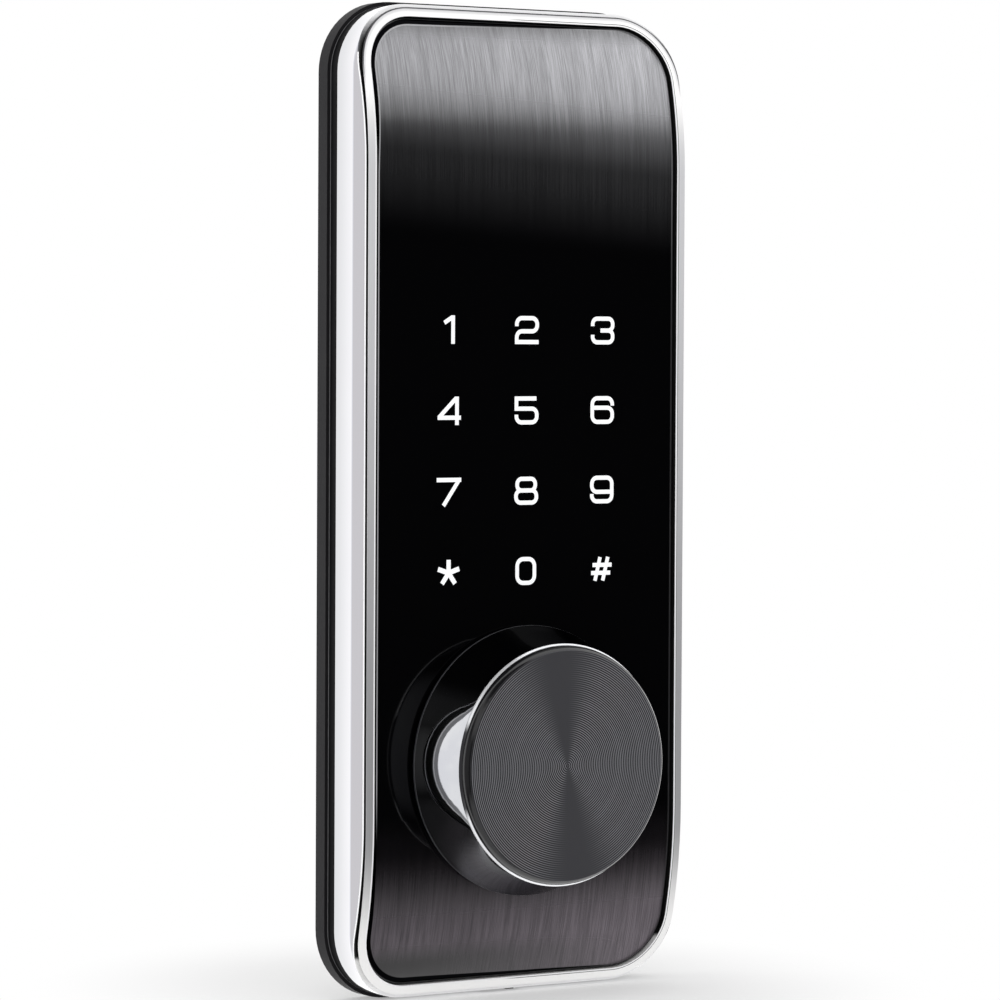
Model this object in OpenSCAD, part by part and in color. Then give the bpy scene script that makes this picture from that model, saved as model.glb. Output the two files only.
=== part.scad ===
// Outside unit of a keypad smart lock: a tall chrome case with a touch panel in front
// and a turning knob at its lower end, which drives a bolt through a motor clutch.
// X runs to the right, Z up, and the front faces -Y. The origin is the point where the
// knob's axis crosses the face of the door. Every piece is drawn lying down, with its
// height along Y and its distance from the door along Z, and is then stood up.

/* [Case] */
// width of the chrome case, mm
case_w = 69.2; // [66:0.2:80]
// height of the case above the knob's axis, mm
case_top = 134.8; // [130:0.2:150]
// reach of the case below the knob's axis, mm
case_bottom = 41.9; // [40:0.1:50]
// radius of the case's corners seen from the front, mm
corner_r = 12.2; // [11:0.2:20]
// distance from the door to the front of the bezel, mm
front_depth = 15.0; // [14.9:0.1:20]
// how far the front curves back by the top edge, mm
top_drop = 6.1; // [3:0.01:6.4]
// how far the front curves back by the bottom edge, mm
bottom_drop = 6.1; // [3:0.01:6.4]
// radius of the curve at the top, mm
top_curve_r = 70; // [60:1:160]
// radius of the curve at the bottom, mm
bottom_curve_r = 88; // [76:1:220]
// thickness of the case's side walls, mm
wall = 1.8; // [1.4:0.1:2.4]
// thickness of the web that carries the panel, mm
web = 1.8; // [1.7:0.1:2.0]
// distance from the door to the edge where the sides start to lean in, mm
crease_depth = 10.7; // [8:0.1:12]
// how far the facet's front edge stands inside the sides, mm
facet_inset = 0.48; // [0.1:0.02:0.5]

/* [Bezel and panel] */
// how far the bezel stands inside the case's sides, mm
rim_inset = 0.6; // [0.5:0.05:1]
// how far the bezel stands out in front of the case, mm
rim_proud = 0.6; // [0.4:0.05:1]
// width of the bezel's front face, mm
rim_face = 1.65; // [1.3:0.05:3]
// thickness of the bezel's front lip, mm
rim_lip = 0.25; // [0.15:0.05:0.35]
// depth of the shadow groove behind the bezel's lip, mm
rim_groove = 0.4; // [0.2:0.05:0.6]
// gap between the bezel and the panel, mm
panel_gap = 0.35; // [0.1:0.05:1]
// thickness of the panel, mm
panel_t = 1.2; // [1.1:0.1:1.6]
// how far the panel sits behind the bezel's face, mm
panel_sunk = 0.85; // [0.3:0.05:0.85]

/* [Keys] */
// distance between key columns, mm
key_pitch_x = 16.5; // [14:0.1:17.5]
// distance between key rows, mm
key_pitch_z = 14.4; // [13:0.1:15.2]
// height of the first key row above the knob's axis, mm
key_top = 77.2; // [76:0.1:84]

/* [Back] */
// thickness of the rubber gasket against the door, mm
gasket_t = 3.0; // [2.6:0.1:3.2]
// how far the gasket stands out past the case, mm
gasket_over = 0.65; // [0.2:0.05:1.5]
// width of the gasket's strip, mm
gasket_strip = 9; // [7:0.5:10]
// thickness of the back plate, mm
plate_t = 2.35; // [2:0.05:2.4]
// diameter of the cross bore in the door, mm
door_bore_d = 54; // [54:0.5:56]
// distance between the two fixing posts, mm
post_spacing = 38.1; // [37.5:0.1:40]
// radius of a fixing post, mm
post_r = 4.0; // [3.6:0.1:4.1]
// reach of the fixing posts past the door face, mm
post_reach = 17; // [16:1:30]
// radius of the tapped hole in a post, mm
post_thread_r = 2.1; // [1.6:0.1:2.5]
// depth of the tapped hole in a post, mm
post_thread_depth = 14; // [12:1:19]
// radius of the cable's way through the grommet, mm
cable_r = 3.0; // [2:0.1:3.2]

/* [Knob] */
// radius of the knob at its base, mm
knob_base_r = 24.3; // [23:0.1:26]
// radius of the knob at its accent ring, mm
knob_ring_r = 21.6; // [21:0.1:22.6]
// gap between the knob and the panel, mm
knob_gap = 0.8; // [0.4:0.1:1.5]
// height of the knob's body, mm
knob_h = 10.7; // [10:0.1:14]
// radius of the hollow curve of the knob's flank, mm
knob_flank_r = 48; // [40:1:200]
// thickness of the accent ring, mm
ring_t = 0.55; // [0.3:0.05:1]
// thickness of the knob's cap in front of the ring, mm
cap_t = 1.65; // [1.2:0.05:2.2]
// radius of the cap's flat face, mm
cap_face_r = 20.45; // [19.8:0.05:20.7]
// radius of the knob's shaft, mm
shaft_r = 5.0; // [4.4:0.1:5.4]

/* [Clutch] */
// radius of the clutch sleeve and of the driver, mm
clutch_r = 10.5; // [10:0.1:10.6]
// travel of the clutch sleeve, mm
clutch_travel = 1.5; // [1.2:0.05:1.5]
// thickness of the driver, mm
driver_t = 1.6; // [1.4:0.05:1.8]
// radius of the clutch motor, mm
motor_r = 3.0; // [2.6:0.1:3]
// length of the clutch motor, mm
motor_l = 10; // [8:0.5:10]
// radius of the round bar that turns the bolt, mm
tail_r = 4.0; // [3.4:0.1:4.2]
// distance from the bar's axis to its flat, mm
tail_flat = 3.0; // [2.9:0.05:3.2]
// reach of the bar past the door face, mm
tail_reach = 38; // [30:1:60]

/* [Hidden] */
$fn = 96;
cut = 1;
fit_gap = 0.05;
run_gap = 0.05;

// heights of the curved zones, and of the flat middle between them
top_curve_h = sqrt((2 * top_curve_r - top_drop) * top_drop);
bottom_curve_h = sqrt((2 * bottom_curve_r - bottom_drop) * bottom_drop);
flat_top = case_top - top_curve_h;
flat_bottom = case_bottom - bottom_curve_h;

// layers, as distances from the door face
plate_back = gasket_t;
plate_front = plate_back + plate_t;
case_front = front_depth - rim_proud;
panel_front = front_depth - panel_sunk;
panel_back = panel_front - panel_t;
web_back = panel_back - web;

// keypad window, light guide and board
key_columns = 3;
key_rows = 4;
key_margin = 6.5;
window_w = (key_columns - 1) * key_pitch_x + 2 * key_margin;
window_low = key_top - (key_rows - 1) * key_pitch_z - key_margin;
window_h = (key_rows - 1) * key_pitch_z + 2 * key_margin;
window_r = 2;
guide_gap = 0.2;
led_w = 1.6;
led_h = 0.7;
led_pocket_w = 2.4;
led_pocket_h = 1.1;
board_t = 1.2;
board_side = 4;
board_foot = 2.5;
board_head = 17;
board_low = window_low - board_foot;
board_w = window_w + 2 * board_side;
board_h = window_h + board_foot + board_head;
board_top = board_low + board_h;
board_back = web_back - board_t;
board_screw_x = window_w / 2 + board_side / 2;
board_screw_in = 3.5;
board_screw_r = 0.9;
board_head_r = 1.7;
board_head_h = 1.1;
board_screw_bite = 1.5;
chip_t = 1.2;
chip_drop = 9;
chip_z = board_top - chip_drop;
main_chip_w = 10;
radio_chip_w = 7;
radio_chip_h = 6;
radio_chip_x = -13.5;
touch_chip_w = 14;
touch_chip_h = 8;
touch_chip_x = -1;
touch_chip_drop = 26;
buzzer_r = 6;
buzzer_h = 3;
buzzer_hole_r = 1;
buzzer_x = 16;
socket_w = 12;
socket_h = 5.5;
socket_d = 3.5;
socket_wall = 0.8;
socket_rise = 6;
socket_z = board_low + socket_rise;

// screws through the back plate
screw_r = 1.4;
screw_head_r = 2.8;
screw_head_h = 1.6;
screw_bite = 2.3;
boss_r = 3.0;
boss_spare = 0.3;
boss_inset_x = 8.2;
boss_inset_z = 10.5;
boss_mid_inset = 6.1;
boss_mid_z = 15;
boss_x = case_w / 2 - boss_inset_x;
boss_mid_x = case_w / 2 - boss_mid_inset;
boss_spots = [
    [-boss_x, case_top - boss_inset_z],
    [boss_x, case_top - boss_inset_z],
    [-boss_mid_x, boss_mid_z],
    [boss_mid_x, boss_mid_z],
    [-boss_x, -case_bottom + boss_inset_z],
    [boss_x, -case_bottom + boss_inset_z]
];

// power port in the bottom wall, placed back from the bezel's seat at the case's foot
seat_r = bottom_curve_r - front_depth + panel_back;
seat_foot = front_depth - bottom_curve_r + sqrt(seat_r * seat_r - bottom_curve_h * bottom_curve_h);
port_w = 7.2;
port_d = 2.2;
port_h = 5.2;
port_shell = 0.3;
port_room = 0.1;
port_front = seat_foot - fit_gap;
port_mid = port_front - port_shell - port_d / 2;
port_back = port_mid - port_d / 2 - port_shell;
port_tongue = 0.7;
cover_w = 8.6;
cover_d = 3.2;
cover_t = 0.7;
cover_plug = 1.0;
cover_lip = 0.15;
tab_w = 1.6;
tab_d = 0.9;
tab_drop = 0.4;
tab_x = 1.9;

// fixing posts
spigot_r = 2.8;
rivet_r = 3.9;
rivet_h = 0.7;

// grommet
grommet_wall = 1.5;
grommet_flange = 1.0;
grommet_flange_t = 0.8;
grommet_r = cable_r + grommet_wall;
grommet_flange_r = grommet_r + grommet_flange;
bore_edge_gap = 0.9;
cable_height = door_bore_d / 2 - bore_edge_gap - grommet_flange_r;

// dish in the back plate, which makes room for the clutch
dish_wall = 1.2;
dish_back = 0.3;
dish_floor = dish_back + dish_wall;
dish_room = 2.3;
dish_r = clutch_r + dish_room;
dish_drop = 21.6;
dish_corner = 3;

// clutch, stacked forward from the dish's floor
hub_neck_wall = 2;
hub_neck_r = tail_r + hub_neck_wall;
hub_flange_r = 9;
hub_flange_t = 0.8;
hub_back = dish_floor + run_gap;
hub_front = hub_back + hub_flange_t;
hub_neck_end = -3.2;
hub_post_wall = 2.5;
hub_post_r = tail_r + hub_post_wall;
post_flat_deep = 1.3;
hub_post_flat = hub_post_r - post_flat_deep;
sleeve_gap = 0.25;
sleeve_slack = 0.1;
collar_t = 0.8;
collar_front_t = 1.0;
groove_w = 1.3;
groove_deep = 2.2;
groove_r = clutch_r - groove_deep;
sleeve_back = hub_front + sleeve_gap;
groove_back = sleeve_back + collar_t;
groove_front = groove_back + groove_w;
dog_back = groove_front + collar_front_t;
dog_front = dog_back + clutch_travel;
dog_count = 4;
dog_w = 3.0;
dog_in_r = 7.4;
dog_slack = 0.25;
driver_gap = 0.3;
driver_back = dog_front + driver_gap;
driver_front = driver_back + driver_t;
tenon_step = 0.4;
tenon_w = (shaft_r - tenon_step) * sqrt(2);

// spring clips
clip_rim = 2;
clip_mouth = 2;

// clip and pin of the bar's hub, and the bar's stepped end inside it
tail_clip_t = 0.6;
tail_clip_gap = 0.1;
tail_clip_front = dish_back - tail_clip_gap;
tail_clip_r = hub_neck_r + clip_rim;
tail_clip_groove = 0.5;
tail_pin_r = 0.8;
tail_pin_depth = -1.9;
tail_seat = 3;
tail_front = hub_back + tail_seat;
tail_ledge = 0.6;
tail_relief = 0.3;
tail_shoulder = hub_neck_end - tail_relief;

// knob's bearing
bush_wall = 2.0;
bush_r = shaft_r + bush_wall;
neck_wall = 2.5;
neck_r = bush_r + neck_wall;
neck_h = 2.85;
neck_front = panel_front + neck_h;
bush_flange = 1.5;
bush_flange_r = bush_r + bush_flange;
bush_flange_t = 0.6;
panel_hole_gap = 0.5;
panel_hole_r = neck_r + panel_hole_gap;
washer_t = 0.3;
washer_rim = 3;
washer_r = shaft_r + washer_rim;
clip_t = 0.6;
clip_r = shaft_r + clip_rim;
clip_groove = 0.6;
washer_back = web_back - run_gap - washer_t;
clip_back = washer_back - clip_t;
seal_r = 0.9;
seal_ring_r = neck_r + seal_r;

// knob
knob_back = panel_front + knob_gap;
knob_front = knob_back + knob_h;
ring_front = knob_front + ring_t;
knob_edge = 0.35;
ring_proud = 0.12;
knob_top_r = knob_ring_r - ring_proud;
knob_wall = 2.4;
knob_roof = 3.0;
knob_hub_wall = 4.5;
knob_hub_r = shaft_r + knob_hub_wall;
knob_hub_gap = 0.3;
knob_hub_back = neck_front + bush_flange_t + knob_hub_gap;
knob_seat = knob_front - knob_roof;
knob_screw_r = 2.0;
knob_screw_head_r = 3.8;
knob_screw_head_h = 1.8;
knob_screw_l = 9;
ring_hold = 1.5;
ring_in_r = cap_face_r - ring_hold;
cap_step = 0.3;
cap_side_r = knob_ring_r - cap_step;
cap_drop = cap_side_r - cap_face_r;
cap_bow_r = (cap_drop * cap_drop + cap_t * cap_t) / (2 * cap_drop);

// motor, cam and fork
motor_z = -17.5;
motor_depth = dish_floor + motor_r;
motor_left = -12.3;
motor_right = motor_left + motor_l;
motor_saddle_h = 1.8;
pivot_z = -23.5;
pivot_rise = 2.05;
pivot_depth = plate_front + pivot_rise;
pivot_r = 1.0;
fork_arm = -pivot_z;
cam_arm = motor_z - pivot_z;
cam_lift = clutch_travel * cam_arm / fork_arm;
cam_under = 0.35;
cam_r = motor_r - cam_under;
cam_from = 0.9;
cam_w = 2.4;
cam_gap = 0.07;
axle_r = 0.75;
axle_spare = 1.2;
cam_left = motor_right + cam_from;
cam_right = cam_left + cam_w;
pad_face = motor_depth + cam_r - cam_lift / 2 + cam_gap;
pad_side = 0.3;
pad_half = 1.5;
fork_t = 1.0;
fork_over = 0.25;
fork_bevel = 1;
fork_back = motor_depth + motor_r + fork_over;
fork_front = fork_back + fork_t;
fork_barrel_r = 1.6;
fork_top_z = -12;
prong_t = 1.2;
prong_gap = 0.7;
prong_x = clutch_r + prong_gap;
prong_out = prong_x + prong_t;
finger_play = 0.1;
finger_tip_gap = 0.3;
finger_r = groove_w / 2 - finger_play;
finger_in = groove_r + finger_tip_gap;
finger_depth = groove_back + groove_w / 2;
prong_half = 1.3;
ear_gap = 0.3;
ear_t = 2.0;
ear_x = prong_out + ear_gap;
ear_half = 2.0;
ear_cover = 0.7;
ear_front = pivot_depth + pivot_r + ear_cover;

// stands a piece up, so that its height runs along Z and its front faces -Y
module upright() {
    rotate([90, 0, 0])
        children();
}

// a flat shape given thickness between two distances from the door
module layer(back, front) {
    translate([0, 0, back])
        linear_extrude(height = front - back)
            children();
}

// a flat shape seen from the side, given width across X
module across(left, right) {
    translate([left, 0, 0])
        rotate([90, 0, 90])
            linear_extrude(height = right - left)
                children();
}

// a disc or tube round the knob's axis
module drum(r, back, front) {
    translate([0, 0, back])
        cylinder(r = r, h = front - back);
}

module box(left, right, low, high, back, front) {
    translate([left, low, back])
        cube([right - left, high - low, front - back]);
}

// the case's outline seen from the front, moved in by inset on every side
module outline(inset) {
    w = case_w / 2 - inset;
    low = -case_bottom + inset;
    high = case_top - inset;
    r = corner_r - inset;
    translate([-w, low + r])
        square([2 * w, high - low - 2 * r]);
    translate([-w + r, low])
        square([2 * (w - r), high - low]);
    for (x = [-w + r, w - r], z = [low + r, high - r])
        translate([x, z])
            circle(r = r);
}

// everything behind a curved sheet that runs parallel to the front of the bezel
module behind(depth) {
    back = front_depth - depth;
    reach = 2 * front_depth;
    across(-case_w, case_w) {
        translate([-flat_bottom, -reach])
            square([flat_bottom + flat_top, depth + reach]);
        intersection() {
            translate([flat_top, front_depth - top_curve_r])
                circle(r = top_curve_r - back);
            translate([flat_top - cut, -reach])
                square([top_curve_h + reach, depth + reach + cut]);
        }
        intersection() {
            translate([-flat_bottom, front_depth - bottom_curve_r])
                circle(r = bottom_curve_r - back);
            translate([-flat_bottom - bottom_curve_h - reach, -reach])
                square([bottom_curve_h + reach + cut, depth + reach + cut]);
        }
    }
}

// a sheet between two curved surfaces that run parallel to the front
module curved_sheet(back, front, inset) {
    intersection() {
        layer(0, front_depth + cut)
            outline(inset);
        difference() {
            behind(front);
            behind(back);
        }
    }
}

// a block whose sides all lean in, and cross the case's straight sides at the crease:
// flat sides with four cones at the corners
module leaning_block() {
    w = case_w / 2;
    low = -case_bottom;
    high = case_top;
    r = corner_r;
    back = plate_front - cut;
    front = case_front + cut;
    h = front - back;
    slope = facet_inset / (case_front - crease_depth);
    out = slope * (crease_depth - back);
    in = slope * (front - crease_depth);
    translate([0, high - r, back])
        rotate([90, 0, 0])
            linear_extrude(height = high - low - 2 * r)
                polygon([[-w - out, 0], [w + out, 0], [w - in, h], [-w + in, h]]);
    translate([-w + r, 0, back])
        rotate([90, 0, 90])
            linear_extrude(height = 2 * (w - r))
                polygon([[low - out, 0], [high + out, 0], [high - in, h], [low + in, h]]);
    for (x = [-w + r, w - r], z = [low + r, high - r])
        translate([x, z, back])
            cylinder(r1 = r + out, r2 = r - in, h = h);
}

module window(inset) {
    w = window_w / 2 - inset;
    low = window_low + inset;
    high = window_low + window_h - inset;
    r = window_r;
    translate([-w, low + r])
        square([2 * w, high - low - 2 * r]);
    translate([-w + r, low])
        square([2 * (w - r), high - low]);
    for (x = [-w + r, w - r], z = [low + r, high - r])
        translate([x, z])
            circle(r = r);
}

module at_keys() {
    for (column = [0 : key_columns - 1], row = [0 : key_rows - 1])
        translate([
            (column - (key_columns - 1) / 2) * key_pitch_x,
            key_top - row * key_pitch_z,
            0
        ])
            children();
}

module at_bosses() {
    for (spot = boss_spots)
        translate([spot[0], spot[1], 0])
            children();
}

module at_board_screws() {
    for (x = [-board_screw_x, board_screw_x])
        for (z = [board_low + board_screw_in, board_top - board_screw_in])
            translate([x, z, 0])
                children();
}

module at_posts() {
    for (x = [-post_spacing / 2, post_spacing / 2])
        translate([x, 0, 0])
            children();
}

// the dish's U shape: round at the top, square with round corners at the bottom
module dish(grow) {
    r = dish_r + grow;
    low = -dish_drop - grow;
    corner = dish_corner + grow;
    circle(r = r);
    translate([-r, low + corner])
        square([2 * r, -low - corner]);
    translate([-r + corner, low])
        square([2 * (r - corner), -low]);
    for (x = [-r + corner, r - corner])
        translate([x, low + corner])
            circle(r = corner);
}

module door_gasket() {
    color([0.13, 0.13, 0.14])
        upright()
            layer(0, gasket_t)
                difference() {
                    outline(-gasket_over);
                    outline(gasket_strip - gasket_over);
                }
}

module plate_screw_hole() {
    drum(screw_r, plate_back - cut, plate_front + cut);
    translate([0, 0, plate_back])
        cylinder(r1 = screw_head_r, r2 = screw_r, h = screw_head_h);
}

module back_plate() {
    color([0.06, 0.06, 0.065])
        upright()
            difference() {
                union() {
                    layer(plate_back, plate_front)
                        outline(0);
                    layer(dish_back, plate_front)
                        dish(dish_wall);
                    for (side = [-1, 1])
                        scale([side, 1, 1])
                            box(
                                ear_x, ear_x + ear_t, pivot_z - ear_half,
                                pivot_z + ear_half, plate_front - cut, ear_front
                            );
                }
                difference() {
                    layer(dish_floor, plate_front + cut)
                        dish(0);
                    motor_saddle();
                }
                drum(hub_neck_r + run_gap, dish_back - cut, dish_floor + cut);
                at_bosses()
                    plate_screw_hole();
                at_posts()
                    drum(spigot_r, plate_back - cut, plate_front + cut);
                translate([0, cable_height, 0])
                    drum(grommet_r, plate_back - cut, plate_front + cut);
                port_way();
                translate([-ear_x - ear_t - cut, pivot_z, pivot_depth])
                    rotate([0, 90, 0])
                        cylinder(r = pivot_r, h = 2 * (ear_x + ear_t + cut));
            }
}

// a block on the dish's floor, hollowed to hold the motor
module motor_saddle() {
    difference() {
        box(
            motor_left, motor_right - cut, -dish_drop - cut, motor_z + motor_r + cut,
            dish_back + cut / 2, dish_floor + motor_saddle_h
        );
        translate([motor_left - cut, motor_z, motor_depth])
            rotate([0, 90, 0])
                cylinder(r = motor_r, h = motor_l + 2 * cut);
    }
}

module fixing_posts() {
    color([0.62, 0.63, 0.65])
        upright()
            at_posts()
                difference() {
                    union() {
                        drum(post_r, -post_reach, plate_back);
                        drum(spigot_r, plate_back - cut, plate_front + cut / 2);
                        drum(rivet_r, plate_front, plate_front + rivet_h);
                    }
                    drum(post_thread_r, -post_reach - cut, post_thread_depth - post_reach);
                }
}

module cable_grommet() {
    color([0.1, 0.1, 0.1])
        upright()
            translate([0, cable_height, 0])
                difference() {
                    union() {
                        drum(
                            grommet_r,
                            plate_back - grommet_flange_t, plate_front + grommet_flange_t
                        );
                        drum(grommet_flange_r, plate_back - grommet_flange_t, plate_back);
                        drum(grommet_flange_r, plate_front, plate_front + grommet_flange_t);
                    }
                    drum(cable_r, 0, plate_front + grommet_flange_t + cut);
                }
}

module plate_screws() {
    color([0.7, 0.7, 0.72])
        upright()
            at_bosses() {
                drum(screw_r, plate_back + screw_head_h / 2, plate_front + screw_bite);
                translate([0, 0, plate_back])
                    cylinder(r1 = screw_head_r, r2 = screw_r, h = screw_head_h);
            }
}

// the case's outer form: straight sides, then a facet that leans in, under a front
// that is flat in the middle and curves back at both ends
module case_form() {
    intersection() {
        layer(plate_front, front_depth)
            outline(0);
        leaning_block();
        behind(case_front);
    }
}

module case_shell() {
    color([0.86, 0.87, 0.88])
        upright()
            difference() {
                union() {
                    difference() {
                        case_form();
                        curved_sheet(panel_back, front_depth, rim_inset + rim_groove - fit_gap);
                        intersection() {
                            layer(plate_front - cut, front_depth)
                                outline(wall);
                            behind(web_back);
                        }
                    }
                    intersection() {
                        at_bosses()
                            drum(boss_r, plate_front, panel_back);
                        behind(web_back + web / 2);
                    }
                    drum(neck_r, web_back, neck_front);
                }
                at_bosses()
                    drum(screw_r, plate_front - cut, plate_front + screw_bite + boss_spare);
                drum(bush_r, web_back - cut, neck_front + cut);
                layer(web_back - cut, panel_back + cut)
                    window(0);
                at_board_screws()
                    drum(board_screw_r, web_back - cut, web_back + board_screw_bite);
                port_way();
            }
}

// the room for the port between case and plate, its slot in the bottom wall and the
// recess for its cover
module port_way() {
    box(
        -port_w / 2 - port_shell, port_w / 2 + port_shell,
        -case_bottom + wall, -case_bottom + wall + port_h + port_room,
        port_back - port_room, port_front
    );
    box(
        -port_w / 2, port_w / 2, -case_bottom - cut, -case_bottom + wall + cut / 2,
        port_mid - port_d / 2, port_mid + port_d / 2
    );
    box(
        -cover_w / 2, cover_w / 2, -case_bottom - cut, -case_bottom + cover_t,
        port_mid - cover_d / 2, port_mid + cover_d / 2
    );
}

module bezel_rim() {
    color([0.8, 0.81, 0.83])
        upright()
            difference() {
                union() {
                    curved_sheet(front_depth - rim_lip, front_depth, rim_inset);
                    curved_sheet(panel_back, front_depth, rim_inset + rim_groove);
                }
                layer(0, front_depth + cut)
                    outline(rim_inset + rim_face);
            }
}

module touch_panel() {
    color([0.03, 0.03, 0.035])
        upright()
            difference() {
                curved_sheet(panel_back, panel_front, rim_inset + rim_face + panel_gap);
                drum(panel_hole_r, panel_back - cut, panel_front + cut);
            }
}

module light_guide() {
    color([0.93, 0.94, 0.95])
        upright()
            difference() {
                layer(web_back, panel_back)
                    window(guide_gap);
                at_keys()
                    box(
                        -led_pocket_w / 2, led_pocket_w / 2,
                        -led_pocket_w / 2, led_pocket_w / 2,
                        web_back - cut, web_back + led_pocket_h
                    );
            }
}

module control_board() {
    color([0.05, 0.3, 0.16])
        upright()
            difference() {
                box(-board_w / 2, board_w / 2, board_low, board_top, board_back, web_back);
                at_board_screws()
                    drum(board_screw_r + fit_gap, board_back - cut, web_back + cut);
            }
}

module key_lights() {
    color([0.95, 0.95, 0.85])
        upright()
            at_keys()
                box(
                    -led_w / 2, led_w / 2, -led_w / 2, led_w / 2,
                    web_back, web_back + led_h
                );
}

module chip(x, z, w, h) {
    box(x - w / 2, x + w / 2, z - h / 2, z + h / 2, board_back - chip_t, board_back);
}

module board_chips() {
    color([0.08, 0.08, 0.09])
        upright() {
            chip(0, chip_z, main_chip_w, main_chip_w);
            chip(radio_chip_x, chip_z, radio_chip_w, radio_chip_h);
            chip(touch_chip_x, chip_z - touch_chip_drop, touch_chip_w, touch_chip_h);
        }
}

module buzzer() {
    color([0.1, 0.1, 0.11])
        upright()
            translate([buzzer_x, chip_z, 0])
                difference() {
                    drum(buzzer_r, board_back - buzzer_h, board_back);
                    drum(
                        buzzer_hole_r, board_back - buzzer_h - cut,
                        board_back - buzzer_h / 2
                    );
                }
}

module harness_socket() {
    color([0.9, 0.88, 0.8])
        upright()
            difference() {
                box(
                    -socket_w / 2, socket_w / 2,
                    socket_z - socket_h / 2, socket_z + socket_h / 2,
                    board_back - socket_d, board_back
                );
                box(
                    -socket_w / 2 + socket_wall, socket_w / 2 - socket_wall,
                    socket_z - socket_h / 2 + socket_wall,
                    socket_z + socket_h / 2 - socket_wall,
                    board_back - socket_d - cut, board_back - socket_wall
                );
            }
}

module board_screws() {
    color([0.7, 0.7, 0.72])
        upright()
            at_board_screws() {
                drum(board_screw_r, board_back - board_head_h, web_back + board_screw_bite);
                drum(board_head_r, board_back - board_head_h, board_back);
            }
}

module power_port() {
    color([0.72, 0.73, 0.75])
        upright() {
            difference() {
                box(
                    -port_w / 2 - port_shell, port_w / 2 + port_shell,
                    -case_bottom + wall, -case_bottom + wall + port_h,
                    port_back, port_front
                );
                box(
                    -port_w / 2, port_w / 2, -case_bottom, -case_bottom + port_h,
                    port_mid - port_d / 2, port_mid + port_d / 2
                );
            }
            box(
                -port_w / 3, port_w / 3,
                -case_bottom + wall + cover_plug, -case_bottom + wall + port_h,
                port_mid - port_tongue / 2, port_mid + port_tongue / 2
            );
        }
}

module port_cover() {
    color([0.08, 0.08, 0.085])
        upright() {
            box(
                -cover_w / 2, cover_w / 2, -case_bottom - cover_lip,
                -case_bottom + cover_t, port_mid - cover_d / 2, port_mid + cover_d / 2
            );
            box(
                -port_w / 2, port_w / 2, -case_bottom, -case_bottom + wall,
                port_mid - port_d / 2, port_mid + port_d / 2
            );
            box(
                tab_x - tab_w / 2, tab_x + tab_w / 2,
                -case_bottom - tab_drop, -case_bottom,
                port_mid + cover_d / 2 - tab_d, port_mid + cover_d / 2
            );
        }
}

module knob_bush() {
    color([0.78, 0.62, 0.3])
        upright()
            difference() {
                union() {
                    drum(bush_r, web_back, neck_front + bush_flange_t);
                    drum(bush_flange_r, neck_front, neck_front + bush_flange_t);
                }
                drum(shaft_r + run_gap, web_back - cut, neck_front + bush_flange_t + cut);
            }
}

module knob_seal() {
    color([0.09, 0.09, 0.09])
        upright()
            translate([0, 0, panel_front + seal_r])
                rotate_extrude()
                    translate([seal_ring_r, 0])
                        circle(r = seal_r);
}

module thrust_washer() {
    color([0.66, 0.67, 0.69])
        upright()
            difference() {
                drum(washer_r, washer_back, washer_back + washer_t);
                drum(shaft_r + run_gap, washer_back - cut, washer_back + washer_t + cut);
            }
}

// the knob's half section: a short straight foot, then a flank that is slightly hollow
module knob_section() {
    rise = knob_h - knob_edge;
    lean = knob_base_r - knob_top_r;
    chord = sqrt(rise * rise + lean * lean);
    sag = sqrt(knob_flank_r * knob_flank_r - chord * chord / 4);
    mid_r = (knob_base_r + knob_top_r) / 2;
    mid_h = knob_edge + rise / 2;
    difference() {
        polygon([
            [0, 0], [knob_base_r, 0], [knob_base_r, knob_edge],
            [knob_top_r, knob_h], [0, knob_h]
        ]);
        translate([mid_r + sag * rise / chord, mid_h + sag * lean / chord])
            circle(r = knob_flank_r);
    }
}

module knob_body() {
    color([0.03, 0.03, 0.035])
        upright()
            difference() {
                translate([0, 0, knob_back])
                    rotate_extrude()
                        knob_section();
                difference() {
                    drum(knob_top_r - knob_wall, knob_back - cut, knob_seat);
                    drum(knob_hub_r, knob_hub_back, knob_seat + cut);
                }
                drum(shaft_r, knob_back - cut, knob_seat);
                drum(knob_screw_r, knob_seat - cut, knob_front + cut);
                drum(knob_screw_head_r + fit_gap, knob_front - knob_screw_head_h, knob_front + cut);
            }
}

module accent_ring() {
    color([0.9, 0.9, 0.92])
        upright()
            difference() {
                drum(knob_ring_r, knob_front, ring_front);
                drum(ring_in_r, knob_front - cut, ring_front + cut);
            }
}

// a spigot inside the ring, and a face whose edge is bowed
module knob_cap() {
    color([0.2, 0.2, 0.21])
        upright() {
            drum(ring_in_r, knob_front, ring_front + cap_t / 2);
            translate([0, 0, ring_front])
                rotate_extrude() {
                    square([cap_side_r - cap_bow_r, cap_t]);
                    intersection() {
                        square([cap_side_r, cap_t]);
                        translate([cap_side_r - cap_bow_r, 0])
                            circle(r = cap_bow_r);
                    }
                }
        }
}

module knob_screw() {
    color([0.7, 0.7, 0.72])
        upright() {
            drum(knob_screw_head_r, knob_front - knob_screw_head_h, knob_front);
            drum(knob_screw_r, knob_front - knob_screw_l, knob_front - knob_screw_head_h / 2);
        }
}

module knob_shaft() {
    color([0.6, 0.61, 0.63])
        upright()
            difference() {
                union() {
                    drum(shaft_r, driver_front, knob_seat);
                    box(
                        -tenon_w / 2, tenon_w / 2, -tenon_w / 2, tenon_w / 2,
                        driver_back, driver_front + cut
                    );
                }
                difference() {
                    drum(shaft_r + cut, clip_back, clip_back + clip_t);
                    drum(shaft_r - clip_groove, clip_back - cut, clip_back + clip_t + cut);
                }
                drum(knob_screw_r, knob_front - knob_screw_l - cut, knob_seat + cut);
            }
}

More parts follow.
